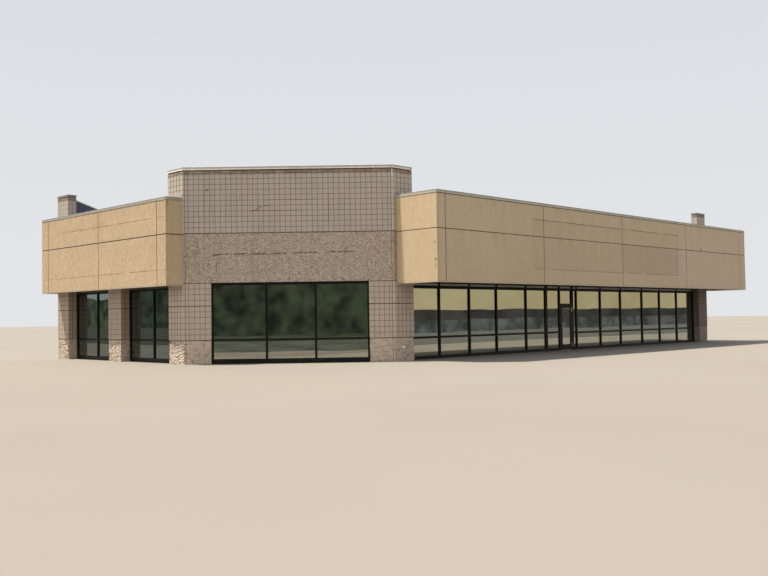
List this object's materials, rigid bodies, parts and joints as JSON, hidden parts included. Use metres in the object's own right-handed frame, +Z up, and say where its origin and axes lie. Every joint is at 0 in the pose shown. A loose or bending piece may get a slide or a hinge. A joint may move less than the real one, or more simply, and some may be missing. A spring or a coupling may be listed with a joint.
{
  "type": "corner retail store building",
  "caption": "One-storey corner shop with a tall chamfered block screen over a wide window, two glazed wings under deep projecting fascias and one swing door.",
  "frame": {"origin": "middle of the plan outline, at ground level", "axes": "+Z up; the long shopfront faces -Y, the short wing faces -X and the chamfered corner faces between them"},
  "size_m": [32.986, 18.03, 7.425],
  "materials": {
    "block": "scored and split-face concrete block, weathered pinkish brown",
    "stucco": "fine sand-finish beige stucco with recessed joints and dirt runs",
    "metal_cap": "matt painted sheet-metal coping",
    "dark_frame": "dark bronze anodised shopfront section",
    "glass": "grey-green tinted, reflective",
    "membrane": "dark roofing sheet",
    "concrete": "plain concrete",
    "aluminium": "satin aluminium",
    "brass_tap": "pale worn tap"
  },
  "bodies": {
    "building": {"floor_slab": "concrete", "tower_left_pier": "block", "tower_right_pier": "block", "tower_front_screen": "block", "tower_left_return": "block", "tower_right_return": "block", "tower_coping": "metal_cap", "left_middle_pier": "block", "left_end_pier": "block", "left_header_wall": "stucco", "end_pier_copings": "metal_cap", "left_fascia": "stucco", "left_fascia_coping": "metal_cap", "left_soffit": "stucco", "left_counter_flashing": "metal_cap", "right_end_pier": "block", "right_header_wall": "stucco", "right_fascia": "stucco", "right_fascia_coping": "metal_cap", "right_soffit": "stucco", "rear_wall": "block", "rear_wall_coping": "metal_cap", "party_wall": "block", "party_wall_coping": "metal_cap", "roof_deck": "concrete", "roof_membrane": "membrane", "corner_window_frame": "dark_frame", "corner_window_glass": "glass", "left_window_near_frame": "dark_frame", "left_window_far_frame": "dark_frame", "left_window_glass": "glass", "shopfront_frame_left": "dark_frame", "shopfront_frame_right": "dark_frame", "shopfront_glass": "glass", "door_frame": "dark_frame", "transom_glass": "glass", "door_threshold": "aluminium", "door_frame_pivots": "aluminium", "hose_bib": "brass_tap"},
    "door": {"door_leaf": "dark_frame", "door_glass": "glass", "door_leaf_pivots": "aluminium", "door_pull": "aluminium", "door_push_bar": "aluminium", "door_closer": "aluminium"}
  },
  "joints": [
    {"name": "door_hinge", "type": "hinge", "parent": "building", "child": "door", "pos_m": [2.266, -6.65, 1.1], "axis": [0, 0, 1], "range_deg": [0, 90], "stiffness_Nm_per_rad": 12}
  ]
}
